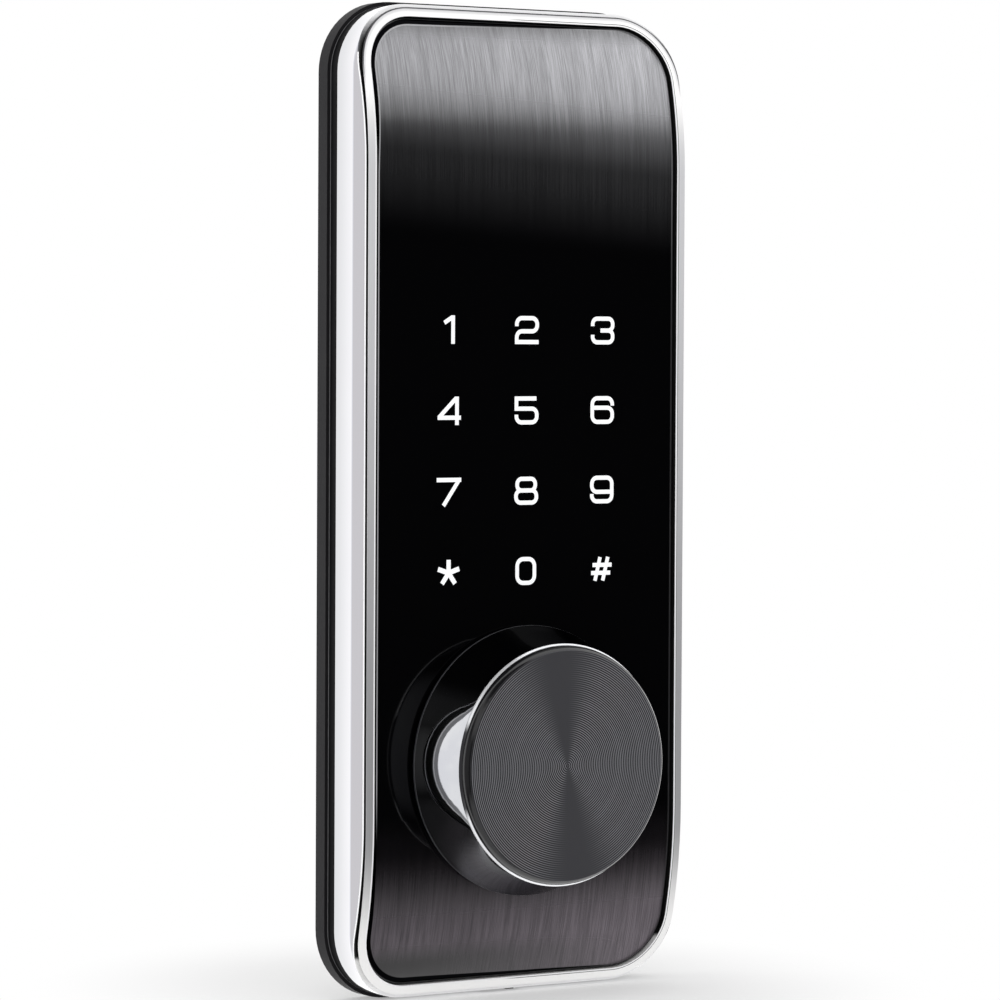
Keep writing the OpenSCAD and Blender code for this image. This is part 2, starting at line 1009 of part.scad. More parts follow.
module shaft_clip() {
    color([0.3, 0.3, 0.32])
        upright()
            difference() {
                drum(clip_r, clip_back, clip_back + clip_t);
                drum(shaft_r - clip_groove, clip_back - cut, clip_back + clip_t + cut);
                box(
                    -clip_mouth / 2, clip_mouth / 2, 0, clip_r + cut,
                    clip_back - cut, clip_back + clip_t + cut
                );
            }
}

module dogs(back, front, inner_r, outer_r, w) {
    intersection() {
        difference() {
            drum(outer_r, back, front);
            drum(inner_r, back - cut, front + cut);
        }
        for (turn = [0 : dog_count / 2 - 1])
            rotate([0, 0, turn * 360 / dog_count])
                box(-w / 2, w / 2, -outer_r - cut, outer_r + cut, back - cut, front + cut);
    }
}

module clutch_driver() {
    color([0.55, 0.56, 0.58])
        upright()
            difference() {
                drum(clutch_r, driver_back, driver_front);
                box(
                    -tenon_w / 2, tenon_w / 2, -tenon_w / 2, tenon_w / 2,
                    driver_back - cut, driver_front + cut
                );
                dogs(
                    driver_back - cut, driver_front + cut, dog_in_r - dog_slack,
                    clutch_r + cut, dog_w + 2 * dog_slack
                );
            }
}

// the post's shape, round with two flats, so that the sleeve slides but can't turn on it
module post_shape(grow) {
    intersection() {
        circle(r = hub_post_r + grow);
        square([2 * (hub_post_flat + grow), 2 * (hub_post_r + cut)], center = true);
    }
}

module clutch_sleeve() {
    color([0.74, 0.75, 0.77])
        upright()
            difference() {
                union() {
                    drum(clutch_r, sleeve_back, groove_back);
                    drum(groove_r, sleeve_back, dog_back);
                    drum(clutch_r, groove_front, dog_back);
                    dogs(dog_back - cut / 2, dog_front, dog_in_r, clutch_r - dog_slack, dog_w);
                }
                layer(sleeve_back - cut, dog_front + cut)
                    post_shape(sleeve_slack);
            }
}

// a round bar with one flat
module bar_shape(grow) {
    intersection() {
        circle(r = tail_r + grow);
        translate([-tail_r - cut, -tail_r - cut])
            square([2 * (tail_r + cut), tail_r + cut + tail_flat + grow]);
    }
}

module bolt_hub() {
    color([0.68, 0.69, 0.71])
        upright()
            difference() {
                union() {
                    drum(hub_neck_r, hub_neck_end, hub_back + hub_flange_t / 2);
                    drum(hub_flange_r, hub_back, hub_front);
                    layer(hub_back, dog_front)
                        post_shape(0);
                }
                layer(hub_neck_end - cut, tail_front)
                    bar_shape(-tail_ledge);
                difference() {
                    drum(hub_neck_r + cut, tail_clip_front - tail_clip_t, tail_clip_front);
                    drum(
                        hub_neck_r - tail_clip_groove,
                        tail_clip_front - tail_clip_t - cut, tail_clip_front + cut
                    );
                }
                hub_pin_solid();
            }
}

module hub_pin_solid() {
    translate([-hub_neck_r, 0, tail_pin_depth])
        rotate([0, 90, 0])
            cylinder(r = tail_pin_r, h = 2 * hub_neck_r);
}

module bolt_bar() {
    color([0.64, 0.65, 0.67])
        upright()
            difference() {
                union() {
                    layer(-tail_reach, tail_shoulder)
                        bar_shape(0);
                    layer(tail_shoulder - cut, tail_front)
                        bar_shape(-tail_ledge);
                }
                hub_pin_solid();
            }
}

module hub_clip() {
    color([0.3, 0.3, 0.32])
        upright()
            difference() {
                drum(tail_clip_r, tail_clip_front - tail_clip_t, tail_clip_front);
                drum(
                    hub_neck_r - tail_clip_groove,
                    tail_clip_front - tail_clip_t - cut, tail_clip_front + cut
                );
                box(
                    -clip_mouth / 2, clip_mouth / 2, 0, tail_clip_r + cut,
                    tail_clip_front - tail_clip_t - cut, tail_clip_front + cut
                );
            }
}

module hub_pin() {
    color([0.5, 0.5, 0.52])
        upright()
            hub_pin_solid();
}

module clutch_motor() {
    color([0.75, 0.76, 0.78])
        upright()
            translate([motor_left, motor_z, motor_depth])
                rotate([0, 90, 0])
                    difference() {
                        cylinder(r = motor_r, h = motor_l);
                        translate([0, 0, motor_l / 2])
                            cylinder(r = axle_r + run_gap, h = motor_l);
                    }
}

module motor_cam() {
    color([0.85, 0.83, 0.75])
        upright() {
            translate([motor_right - motor_l / 2 + cut, motor_z, motor_depth])
                rotate([0, 90, 0])
                    cylinder(
                        r = axle_r,
                        h = cam_right - motor_right + motor_l / 2 - cut + axle_spare
                    );
            translate([cam_left, motor_z, motor_depth - cam_lift / 2])
                rotate([0, 90, 0])
                    cylinder(r = cam_r, h = cam_w);
        }
}

module fork_side(left, right) {
    across(left, right)
        polygon([
            [fork_top_z - fork_bevel, fork_back], [-prong_half, finger_depth - prong_half],
            [prong_half, finger_depth - prong_half], [prong_half, finger_depth + prong_half],
            [fork_top_z, fork_front], [fork_top_z - fork_bevel, fork_front]
        ]);
}

module clutch_fork() {
    color([0.7, 0.71, 0.73])
        upright()
            difference() {
                union() {
                    translate([-prong_out, pivot_z, pivot_depth])
                        rotate([0, 90, 0])
                            cylinder(r = fork_barrel_r, h = 2 * prong_out);
                    box(
                        -prong_out, prong_out, pivot_z, fork_top_z,
                        fork_back, fork_front
                    );
                    box(
                        cam_left - pad_side, cam_right + pad_side,
                        motor_z - pad_half, motor_z + pad_half,
                        pad_face, fork_back + fork_t / 2
                    );
                    for (side = [-1, 1])
                        scale([side, 1, 1]) {
                            fork_side(prong_x, prong_out);
                            translate([finger_in, 0, finger_depth])
                                rotate([0, 90, 0])
                                    cylinder(r = finger_r, h = prong_out - finger_in);
                        }
                }
                translate([-prong_out - cut, pivot_z, pivot_depth])
                    rotate([0, 90, 0])
                        cylinder(r = pivot_r + run_gap, h = 2 * (prong_out + cut));
            }
}

module fork_pin() {
    color([0.5, 0.5, 0.52])
        upright()
            translate([-ear_x - ear_t, pivot_z, pivot_depth])
                rotate([0, 90, 0])
                    cylinder(r = pivot_r, h = 2 * (ear_x + ear_t));
}

door_gasket();
back_plate();
fixing_posts();
cable_grommet();
plate_screws();
case_shell();
bezel_rim();
touch_panel();
light_guide();
control_board();
key_lights();
board_chips();
buzzer();
harness_socket();
board_screws();
power_port();
port_cover();
knob_bush();
knob_seal();
thrust_washer();
knob_body();
accent_ring();
knob_cap();
knob_screw();
knob_shaft();
shaft_clip();
clutch_driver();
clutch_sleeve();
bolt_hub();
bolt_bar();
hub_clip();
hub_pin();
clutch_motor();
motor_cam();
clutch_fork();
fork_pin();
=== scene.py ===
import math

import bmesh
import bpy
from mathutils import Matrix, Vector


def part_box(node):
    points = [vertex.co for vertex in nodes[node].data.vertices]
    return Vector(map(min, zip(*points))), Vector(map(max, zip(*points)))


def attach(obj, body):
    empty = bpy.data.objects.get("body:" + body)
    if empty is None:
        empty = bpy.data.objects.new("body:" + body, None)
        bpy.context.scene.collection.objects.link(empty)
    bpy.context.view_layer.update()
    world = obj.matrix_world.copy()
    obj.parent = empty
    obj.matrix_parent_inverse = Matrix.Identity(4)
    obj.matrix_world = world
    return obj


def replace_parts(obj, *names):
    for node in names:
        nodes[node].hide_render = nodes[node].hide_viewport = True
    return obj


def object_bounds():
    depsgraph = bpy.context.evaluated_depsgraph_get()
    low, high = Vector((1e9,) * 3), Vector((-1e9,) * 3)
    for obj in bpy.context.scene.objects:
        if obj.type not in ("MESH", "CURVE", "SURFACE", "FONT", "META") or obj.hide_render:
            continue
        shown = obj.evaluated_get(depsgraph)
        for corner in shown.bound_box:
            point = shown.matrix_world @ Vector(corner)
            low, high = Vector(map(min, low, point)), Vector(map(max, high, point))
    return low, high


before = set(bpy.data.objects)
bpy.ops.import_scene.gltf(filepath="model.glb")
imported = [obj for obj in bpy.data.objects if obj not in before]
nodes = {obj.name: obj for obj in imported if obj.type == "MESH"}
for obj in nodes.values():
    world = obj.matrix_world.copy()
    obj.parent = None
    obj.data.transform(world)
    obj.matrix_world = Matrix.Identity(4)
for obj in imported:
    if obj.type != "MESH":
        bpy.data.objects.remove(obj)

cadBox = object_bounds()
mm = 0.001
mergeMm = 0.0005  # corners closer than this are one


class Val:  # one socket, written in sums
    def __init__(self, graph, socket):
        self.graph, self.socket = graph, socket

    def sum(self, operation, *values):
        return self.graph.node("ShaderNodeMath", {"operation": operation}, *values)

    def __add__(self, other):
        return self.sum("ADD", self, other)

    def __radd__(self, other):
        return self.sum("ADD", other, self)

    def __sub__(self, other):
        return self.sum("SUBTRACT", self, other)

    def __rsub__(self, other):
        return self.sum("SUBTRACT", other, self)

    def __mul__(self, other):
        return self.sum("MULTIPLY", self, other)

    def __rmul__(self, other):
        return self.sum("MULTIPLY", other, self)

    def __truediv__(self, other):
        return self.sum("DIVIDE", self, other)

    def __rtruediv__(self, other):
        return self.sum("DIVIDE", other, self)

    def __pow__(self, other):
        return self.sum("POWER", self, other)

    def __neg__(self):
        return self.sum("MULTIPLY", self, -1)

    def __abs__(self):
        return self.sum("ABSOLUTE", self)

    def sin(self):
        return self.sum("SINE", self)

    def sign(self):
        return self.sum("SIGN", self)

    def turnTo(self, other):  # the angle of the point (other, self)
        return self.sum("ARCTAN2", self, other)

    def least(self, other):
        return self.sum("MINIMUM", self, other)

    def most(self, other):
        return self.sum("MAXIMUM", self, other)

    def rise(self, low, high):  # 0 below low, 1 above high, soft between
        settings = {"interpolation_type": "SMOOTHSTEP"}
        return self.graph.node("ShaderNodeMapRange", settings, self, low, high, 0, 1)

    def above(self, limit, soft):  # 0 below the limit, 1 above it, soft to both sides
        return self.rise(limit - soft, limit + soft)


class Graph:  # a node tree and the one way to add to it
    def __init__(self, owner):
        owner.use_nodes = True
        self.tree = owner.node_tree
        self.tree.nodes.clear()
        self.here = None

    def node(self, kind, settings=None, *values, out=0, **named):
        made = self.tree.nodes.new(kind)
        for name, setting in (settings or {}).items():
            setattr(made, name, setting)
        for socket, value in zip(made.inputs, values):
            self.put(socket, value)
        for name, value in named.items():
            self.put(made.inputs[name], value)
        self.last = made
        return Val(self, made.outputs[out]) if made.outputs else None

    def put(self, socket, value):
        if isinstance(value, Val):
            self.tree.links.new(value.socket, socket)
        elif value is not None:
            plain = isinstance(value, (int, float))
            wide = hasattr(socket.default_value, "__len__")
            if wide and plain:
                value = (value,) * 3
            if wide and len(socket.default_value) == 4 and len(value) == 3:
                value = (*value, 1)
            socket.default_value = value

    def objectSpace(self):  # the Object coordinates, in metres
        if self.here is None:
            self.here = self.node("ShaderNodeTexCoord", None, out=3)
        return self.here

    def placed(self, scale=(1, 1, 1)):  # the Object coordinates in mm, each axis times its scale
        settings = {"vector_type": "POINT"}
        size = [s / mm for s in scale]
        return self.node("ShaderNodeMapping", settings, self.objectSpace(), Scale=size)

    def axes(self, vector):
        self.node("ShaderNodeSeparateXYZ", None, vector)
        return [Val(self, socket) for socket in self.last.outputs]

    def facing(self, vector, direction):  # 1 along the direction, -1 against it
        settings = {"operation": "DOT_PRODUCT"}
        return self.node("ShaderNodeVectorMath", settings, vector, direction, out=1)

    def noise(self, scale, detail=3.0, roughness=0.55):  # scale: features in one mm, even or by axis
        if isinstance(scale, (int, float)):
            scale = (scale, scale, scale)
        return self.noiseOn(self.placed(scale), detail, roughness)

    def noiseOn(self, vector, detail=3.0, roughness=0.55):
        return self.node("ShaderNodeTexNoise", {"noise_dimensions": "3D"}, vector,
                         Scale=1.0, Detail=detail, Roughness=roughness)

    def blend(self, amount, first, second):  # a colour mix
        made = self.node("ShaderNodeMix", {"data_type": "RGBA", "clamp_factor": True}, out=2)
        inputs = self.last.inputs
        self.put(inputs["Factor"], amount)
        self.put(inputs[6], first)  # A and B of the colour mix
        self.put(inputs[7], second)
        return made

    def lightPath(self):
        self.node("ShaderNodeLightPath")
        return {socket.name: Val(self, socket) for socket in self.last.outputs}


class Finish(Graph):  # a material on the Principled shader, its constants set on their own sockets
    def __init__(self, name, **constants):
        self.material = bpy.data.materials.new(name)
        super().__init__(self.material)
        shade = self.node("ShaderNodeBsdfPrincipled")
        self.shader = self.last
        self.node("ShaderNodeOutputMaterial", None, shade)
        for socket, value in constants.items():
            self.put(self.shader.inputs[socket.replace("_", " ")], value)

    def feed(self, **links):
        for socket, value in links.items():
            self.put(self.shader.inputs[socket.replace("_", " ")], value)

    def bump(self, height, depthMm):
        normal = self.node("ShaderNodeBump", None, Strength=1.0, Distance=depthMm * mm, Height=height)
        self.put(self.shader.inputs["Normal"], normal)


print("lock: frame loaded,", len(nodes), "nodes")


camera = {
    "place": (-0.466717, -0.710374, 0.075804),
    "along": (0.551847, 0.833224, -0.034689),
    "roll": math.radians(0.287),
    "lensMm": 168.31, "sensorMm": 36,
    "clip": (0.02, 50),
}


def makeCamera():
    data = bpy.data.cameras.new("camera")
    data.lens, data.sensor_width = camera["lensMm"], camera["sensorMm"]
    data.clip_start, data.clip_end = camera["clip"]
    eye = bpy.data.objects.new("camera", data)
    along = Vector(camera["along"]).normalized()
    right = along.cross(Vector((0, 0, 1))).normalized()
    up = right.cross(along)
    turn, across = math.sin(camera["roll"]), math.cos(camera["roll"])
    right, up = across * right + turn * up, across * up - turn * right
    eye.matrix_world = Matrix((right, up, -along)).transposed().to_4x4()
    eye.location = camera["place"]
    bpy.context.scene.collection.objects.link(eye)
    bpy.context.scene.camera = eye


makeCamera()
print("lock: camera set")


studio = {
    "fill": 0.72,            # level of the room on plain colours
    "wall": 1.6,             # the pale wall behind the lock, as mirrors see it
    "shade": 0.012,          # darkest part of the room, in front of the lock
    "leftGlow": 0.27,        # soft glow at the left
    "frontGlow": 0.6,        # narrow glow straight in front
    "twice": 0.9,            # share of the soft lights that a mirror in a mirror loses
    "away": (0.552, 0.833, 0),    # level directions in the room: into the wall,
    "right": (0.833, -0.552, 0),  # along the wall,
    "ahead": (0, -1, 0),          # and straight out from the door
    "wallEdge": (-0.25, -0.17),   # soft edges of the zones, each along one direction
    "highEdge": (0.20, 0.44), "highTop": (0.60, 0.78),
    "lowEdge": (0.28, 0.55), "lowFoot": (0.62, 0.78),
    "highAway": (-0.05, 0.15), "highRight": (-0.6, -0.3), "lowRight": (0, 0.25),
    "endsEdge": (-0.80, -0.55),
    "leftEdge": (0.36, 0.60), "leftTall": (0.25, 0.5), "frontEdge": (0.93, 0.98),
    "floorRadius": 1.5,
    "floorTone": 0.92, "floorPatch": 0.02, "floorGlow": 0.35,
    "clearMetres": (0.040, 0.085),  # the floor keeps the shadow up to here, and is plain white beyond
    "aim": (0, 0, 0.045),           # where the lamps point
    "mirrored": "lampHigh",  # the other lamps only light, and leave the mirrors clean
    "lamps": {               # name: place, width, height, strength in watts
        "lampHigh": ((0.60, -0.78, 0.62), 0.50, 0.50, 1.1),
        "lampTop": ((-0.15, 0.05, 1.15), 0.80, 0.80, 3.2),
        "lampBehind": ((-0.866, 0.500, 0.02), 0.34, 0.90, 3.4),
        "lampLeft": ((-0.899, -0.438, 0.06), 0.17, 2.00, 1.6),
    },
}


def onceMirrored(ray):  # a mirror seen in another mirror shows little of the soft lights
    return 1 - studio["twice"] * ray["Glossy Depth"].above(1.5, 0.1)


def makeRoom():
    world = bpy.data.worlds.new("room")
    bpy.context.scene.world = world
    room = Graph(world)
    towards = room.node("ShaderNodeTexCoord", None, out=0)
    up = room.axes(towards)[2]
    away, right, ahead = (room.facing(towards, studio[way]) for way in ("away", "right", "ahead"))
    down, left = -up, -right
    ray = room.lightPath()
    # the pale wall behind the lock, the soft light high in front, and the paper below
    wall = away.rise(*studio["wallEdge"])
    high = up.rise(*studio["highEdge"]) * (-away).rise(*studio["highAway"])
    high = high * (1 - up.rise(*studio["highTop"]) * right.rise(*studio["highRight"]))
    low = down.rise(*studio["lowEdge"])
    low = low * (1 - down.rise(*studio["lowFoot"]) * right.rise(*studio["lowRight"]))
    ends = high.most(low) * right.rise(*studio["endsEdge"]) * onceMirrored(ray)
    glow = studio["leftGlow"] * left.rise(*studio["leftEdge"]) * (1 - abs(up).rise(*studio["leftTall"]))
    glow = glow.most(studio["frontGlow"] * ahead.rise(*studio["frontEdge"]))
    lit = (studio["wall"] * wall).most(ends).most(glow)
    level = studio["shade"] + (1 - studio["shade"]) * lit
    mirror = (ray["Is Glossy Ray"] + ray["Is Transmission Ray"]).least(1)
    plain = (1 - mirror - ray["Is Camera Ray"]).most(0)
    strength = ray["Is Camera Ray"] + mirror * level + plain * studio["fill"]
    background = room.node("ShaderNodeBackground", None, (1, 1, 1), strength)
    room.node("ShaderNodeOutputWorld", None, background)


def makeFloor():
    bm = bmesh.new()
    bmesh.ops.create_circle(bm, cap_ends=True, segments=96, radius=studio["floorRadius"])
    bmesh.ops.translate(bm, verts=bm.verts, vec=(0, 0, cadBox[0].z))
    mesh = bpy.data.meshes.new("floor")
    bm.to_mesh(mesh)
    bm.free()
    floor = bpy.data.objects.new("floor", mesh)
    bpy.context.scene.collection.objects.link(floor)
    floor.visible_glossy = False  # mirrors show the room instead, so that the dark glass stays dark
    paint = bpy.data.materials.new("floorPaper")
    graph = Graph(paint)
    x, y, _ = graph.axes(graph.objectSpace())
    reach = (x * x + y * y) ** 0.5
    clear = studio["floorGlow"] + (1 - studio["floorGlow"]) * reach.rise(*studio["clearMetres"])
    tone = graph.blend(graph.noise(0.02) * 0.5, (studio["floorTone"],) * 3,
                       (studio["floorTone"] + studio["floorPatch"],) * 3)
    paper = graph.node("ShaderNodeBsdfDiffuse", None, tone)
    glow = graph.node("ShaderNodeEmission", None, (1, 1, 1), 1.0)
    mixed = graph.node("ShaderNodeMixShader", None, clear, paper, glow)
    graph.node("ShaderNodeOutputMaterial", None, mixed)
    mesh.materials.append(paint)


def makeLamps():
    for name, (place, width, tall, watts) in studio["lamps"].items():
        data = bpy.data.lights.new(name, "AREA")
        data.shape, data.size, data.size_y, data.energy = "RECTANGLE", width, tall, watts
        lamp = bpy.data.objects.new(name, data)
        lamp.location = place
        lamp.rotation_mode = "QUATERNION"
        lamp.rotation_quaternion = (Vector(studio["aim"]) - Vector(place)).to_track_quat("-Z", "Y")
        bpy.context.scene.collection.objects.link(lamp)
        lamp.visible_glossy = name == studio["mirrored"]
        if lamp.visible_glossy:
            graph = Graph(data)
            glow = graph.node("ShaderNodeEmission", None, (1, 1, 1), onceMirrored(graph.lightPath()))
            graph.node("ShaderNodeOutputLight", None, glow)


makeRoom()
makeFloor()
makeLamps()
scene = bpy.context.scene
scene.view_settings.view_transform = "Standard"
print("lock: studio set")


slotOf = {name: node.data.materials[0].name for name, node in nodes.items()}


def dress(slot, finish):  # every CAD node of one slot gets this finish
    for name in [n for n in nodes if slotOf[n] == slot]:
        nodes[name].material_slots[0].material = finish.material


# how the front curves back at both ends, as in the part, and how far in each outline's corners start
curve = {
    "topFlatMm": 106.22, "topRadiusMm": 70.0, "footFlatMm": -9.71, "footRadiusMm": 88.0,
    "caseMm": 14.4, "creaseMm": 10.7,
    "cornerMm": 12.2, "rimInsetMm": 0.6, "panelInsetMm": 2.6,
}


def behindFront(y, z, depthMm):  # how far behind the curved sheet at that depth a point lies, mm
    up, down = (z - curve["topFlatMm"]).most(0), (curve["footFlatMm"] - z).most(0)
    top, foot = curve["topRadiusMm"], curve["footRadiusMm"]
    fall = (top - (top * top - up * up) ** 0.5) + (foot - (foot * foot - down * down) ** 0.5)
    return depthMm - fall + y


def insideEdge(x, z, node, insetMm):  # distance inwards from a node's rounded outline, in mm
    low, high = (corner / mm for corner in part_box(node))
    bend = curve["cornerMm"] - insetMm
    overX = abs(x - (low.x + high.x) / 2) - ((high.x - low.x) / 2 - bend)
    overZ = abs(z - (low.z + high.z) / 2) - ((high.z - low.z) / 2 - bend)
    acrossX, acrossZ = overX.most(0), overZ.most(0)
    outwards = (acrossX * acrossX + acrossZ * acrossZ) ** 0.5 + overX.most(overZ).least(0)
    return bend - outwards


# painted shade in the gap between the case and the bezel, and a painted pale reflection round the foot,
# paleMm below the knob's axis
gap = {"tone": (0.003, 0.003, 0.003), "pale": (0.86, 0.855, 0.85), "paleMm": (33.5, 34.5)}


# painted shade in the gap, turning to a painted pale reflection round the foot
def paintedGapShadeAndLight(f, z):
    return f.blend((-z).rise(*gap["paleMm"]), gap["tone"], gap["pale"])


rubber = {"tone": (0.013, 0.0125, 0.014), "dust": (0.034, 0.033, 0.032), "dusty": 0.35,
          "grainMm": 0.35, "depthMm": 0.03}


def rubberFinish():
    f = Finish("mouldedRubber", Specular_IOR_Level=0.14)
    grain = f.noise(1 / rubber["grainMm"], detail=4)
    patch = f.noise(0.12, detail=2)
    dust = (grain * patch).rise(0.30, 0.48)
    f.feed(Base_Color=f.blend(dust * rubber["dusty"], rubber["tone"], rubber["dust"]),
           Roughness=0.52 + 0.22 * grain)
    f.bump(grain, rubber["depthMm"])
    return f


plate = {
    "tone": (0.0035, 0.0035, 0.004), "worn": (0.008, 0.008, 0.009),
    "edge": (0.22, 0.22, 0.23),           # painted highlight along the back edge, at the sides
    "edgeMm": 3.0, "edgeWideMm": 0.28,
    "peelMm": 0.55, "depthMm": 0.025,
}


def plateFinish():
    f = Finish("blackPowderCoat", Specular_IOR_Level=0.05)
    peel = f.noise(1 / plate["peelMm"], detail=2)
    patch = f.noise(0.08)
    x, y, z = f.axes(f.placed())
    past = -y - plate["edgeMm"]
    # painted highlight: a light line along the back edge of the plate's sides
    edgeHighlight = past.rise(-0.02, 0) * (plate["edgeWideMm"] - past).rise(0, 0.08)
    outside = 1 - insideEdge(x, z, "back_plate", 0).rise(0.05, 0.25)
    coat = f.blend(patch.rise(0.45, 0.75) * 0.5, plate["tone"], plate["worn"])
    f.feed(Base_Color=f.blend(edgeHighlight * outside * (0.5 + 0.5 * peel), coat, plate["edge"]),
           Roughness=0.42 + 0.18 * peel)
    f.bump(peel, plate["depthMm"])
    return f


chrome = {
    "tone": (0.60, 0.597, 0.612), "cloudy": (0.575, 0.57, 0.59),
    "back": (0.475, 0.478, 0.49), "backMm": (5.4, 11.3),  # painted shade: dimmer towards the door
    "facet": (0.36, 0.353, 0.37),                # painted darker reflection in front of the crease
    # painted reflection along the crease
    "creaseTone": (0.43, 0.435, 0.47), "creaseWideMm": 0.16,
    "edge": (0.96, 0.96, 0.97), "edgeMm": 0.42,  # painted highlight along the front edge
    "crown": (0.035, 0.037, 0.045),              # painted dark reflection where that line turns away at the top corners
    "crownFromMm": (125.6, 125.9), "crownToMm": (129, 133),
}


def chromeFinish():
    f = Finish("brightChrome")
    haze = f.noise((0.05, 0.05, 0.03))
    wipe = f.noise((0.9, 0.9, 0.06), detail=4)
    x, y, z = f.axes(f.placed())
    depth = -y
    behind = behindFront(y, z, curve["caseMm"])
    # painted shade in the groove behind the front edge
    groove = (-behind).rise(-0.05, -0.03)
    # painted highlight along the front edge, a white non-metal line
    line = (chrome["edgeMm"] - behind).rise(0, 0.06) * (1 - groove)
    crease = (chrome["creaseWideMm"] - abs(y + curve["creaseMm"])).rise(0, 0.05)
    tone = f.blend(haze.rise(0.35, 0.7), chrome["tone"], chrome["cloudy"])
    # painted shade towards the door, and a painted darker reflection on the facet
    tone = f.blend(depth.rise(*chrome["backMm"]), chrome["back"], tone)
    tone = f.blend(depth.above(curve["creaseMm"], 0.02), tone, chrome["facet"])
    # painted dark reflection at the top corners
    crown = z.rise(*chrome["crownFromMm"]) * (1 - z.rise(*chrome["crownToMm"]))
    edge = f.blend(crown, chrome["edge"], chrome["crown"])
    tone = f.blend(line, f.blend(crease, tone, chrome["creaseTone"]), edge)
    painted = line.most(groove)
    f.feed(Base_Color=f.blend(groove, tone, paintedGapShadeAndLight(f, z)), Metallic=1 - painted,
           Roughness=0.035 + 0.05 * haze * wipe + 0.4 * painted)
    f.bump(haze, 0.01)
    return f


rim = {
    # painted light: the face grows lighter upwards, from low to high
    "low": (0.36, 0.36, 0.37), "high": (0.75, 0.75, 0.77), "lowMm": 0.0, "highMm": 105.0,
    "hazy": 0.15,                                    # share of the haze in that rise
    "lipMm": 0.10,
    "ends": (0.93, 0.925, 0.92),                     # painted pale reflection where it curves back, up and down from the knob
    "topEndMm": (104, 122), "footEndMm": (12, 32),
    "line": (0.97, 0.97, 0.98), "lineFromMm": 1.39,  # painted highlight on the inner edge
    "shadow": (0.10, 0.10, 0.105), "shadowWideMm": 0.12,  # thin dark line beside it, at the right
    "shadowRightMm": (-2, 2),
    "crownMm": (119, 125),                           # its outer side turns away from here up
    "shade": (0.46, 0.46, 0.48), "shadeMm": (0.25, 1.05), "shaded": 0.7,
    # painted shade along the outer edge at the top
    "outline": (0.04, 0.04, 0.045), "outlineMm": (0.20, 0.27),
}


def rimFinish():
    f = Finish("satinChrome")
    haze = f.noise((0.06, 0.06, 0.04))
    grain = f.noise((6, 6, 0.6))
    x, y, z = f.axes(f.placed())
    behind = behindFront(y, z, -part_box("bezel_rim")[0].y / mm)
    # painted shade in the groove behind the lip
    groove = behind.above(rim["lipMm"], 0.02)
    inside = insideEdge(x, z, "bezel_rim", curve["rimInsetMm"])
    # painted highlight along the inner edge
    line = inside.above(rim["lineFromMm"], 0.02)
    shadowMm = rim["lineFromMm"] - rim["shadowWideMm"]
    shadow = inside.rise(shadowMm - 0.02, shadowMm) * x.rise(*rim["shadowRightMm"])
    # painted light, lighter upwards
    upwards = z.rise(rim["lowMm"], rim["highMm"]) * (1 - rim["hazy"]) + haze * rim["hazy"]
    face = f.blend(upwards, rim["low"], rim["high"])
    # painted pale reflection where the rim curves back
    face = f.blend(z.rise(*rim["topEndMm"]).most((-z).rise(*rim["footEndMm"])), face, rim["ends"])
    crown = z.rise(*rim["crownMm"])
    face = f.blend((1 - inside.rise(*rim["shadeMm"])) * crown * rim["shaded"], face, rim["shade"])
    # painted shade along the outer edge at the top
    face = f.blend((1 - inside.rise(*rim["outlineMm"])) * crown, face, rim["outline"])
    face = f.blend(shadow, face, rim["shadow"])
    face = f.blend(line, face, rim["line"])
    f.feed(Base_Color=f.blend(groove, face, paintedGapShadeAndLight(f, z)), Metallic=0.2 * (1 - line.most(groove)),
           Roughness=0.24 + 0.12 * grain + 0.3 * groove)
    f.bump(grain, 0.003)
    return f


panel = {  # a pair in mm is where something starts and where it is full
    "black": (0.0007, 0.0007, 0.0010),
    "topTone": (0.25, 0.25, 0.262), "topSpread": 0.34,      # brushed band above the keys: real brush lines, its grey a painted reflection of the light above
    "topHaze": 0.10, "topHazeMm": (92.0, 109.0), "topMm": (106.5, 121.5),
    "topEdgeDark": 0.5, "topEdgeMm": (128.0, 132.5),
    "lean": 0.065,                                          # it reaches lower at the right
    "footTone": (0.105, 0.091, 0.104), "footSpread": 0.40,  # brushed band round the knob's foot: real brush lines, its grey a painted reflection
    "footHaze": 0.05, "footHazeMm": (8.0, 16.0), "footMm": (15.0, 30.0),
    "footEdgeDark": 0.88, "footEdgeMm": (31.5, 36.0), "footEdgeLeftMm": (-30, 20),
    "topCover": 0.88, "footCover": 0.85,                    # how much of the black each band's painted reflection covers
    "side": 0.006, "sideLeast": -0.09, "footSide": 1.3,     # more painted reflection for each mm to the right
    "brushMm": 0.085, "bands": 0.25,                        # width of one brush line, share of wide ones
    "chamfer": (0.02, 0.02, 0.022), "chamferMm": 0.16,      # ground edge of the glass
    "borderMm": 0.42,                                       # black band along the edge, painted shade
    "cornerMm": 0.5,                                        # wider by this in the left corners, as painted shade
    "cornerFootMm": (8, 30), "cornerTopMm": (104, 118), "cornerLeftMm": (-10, 25),
    "rightMm": 0.42, "rightFromMm": (5, 28),                # thinner by this at the right, where the painted shade falls away
    "line": (0.36, 0.36, 0.375), "lineWideMm": 0.26,        # thin painted highlight inside it, bright at the left
    "lineLeftMm": (0, 26), "lineFootMm": (-14, -2),
    "lineRight": 0.07, "lineRightTop": 0.38,                # and faint at the right, less so high up
    "lineRightMm": (8, 28), "lineTopMm": (80, 110),
}


def brushed(f, brush, tone, spread):  # between a darker and a lighter tone
    return f.blend(brush, [(1 - spread) * c for c in tone], [(1 + spread) * c for c in tone])


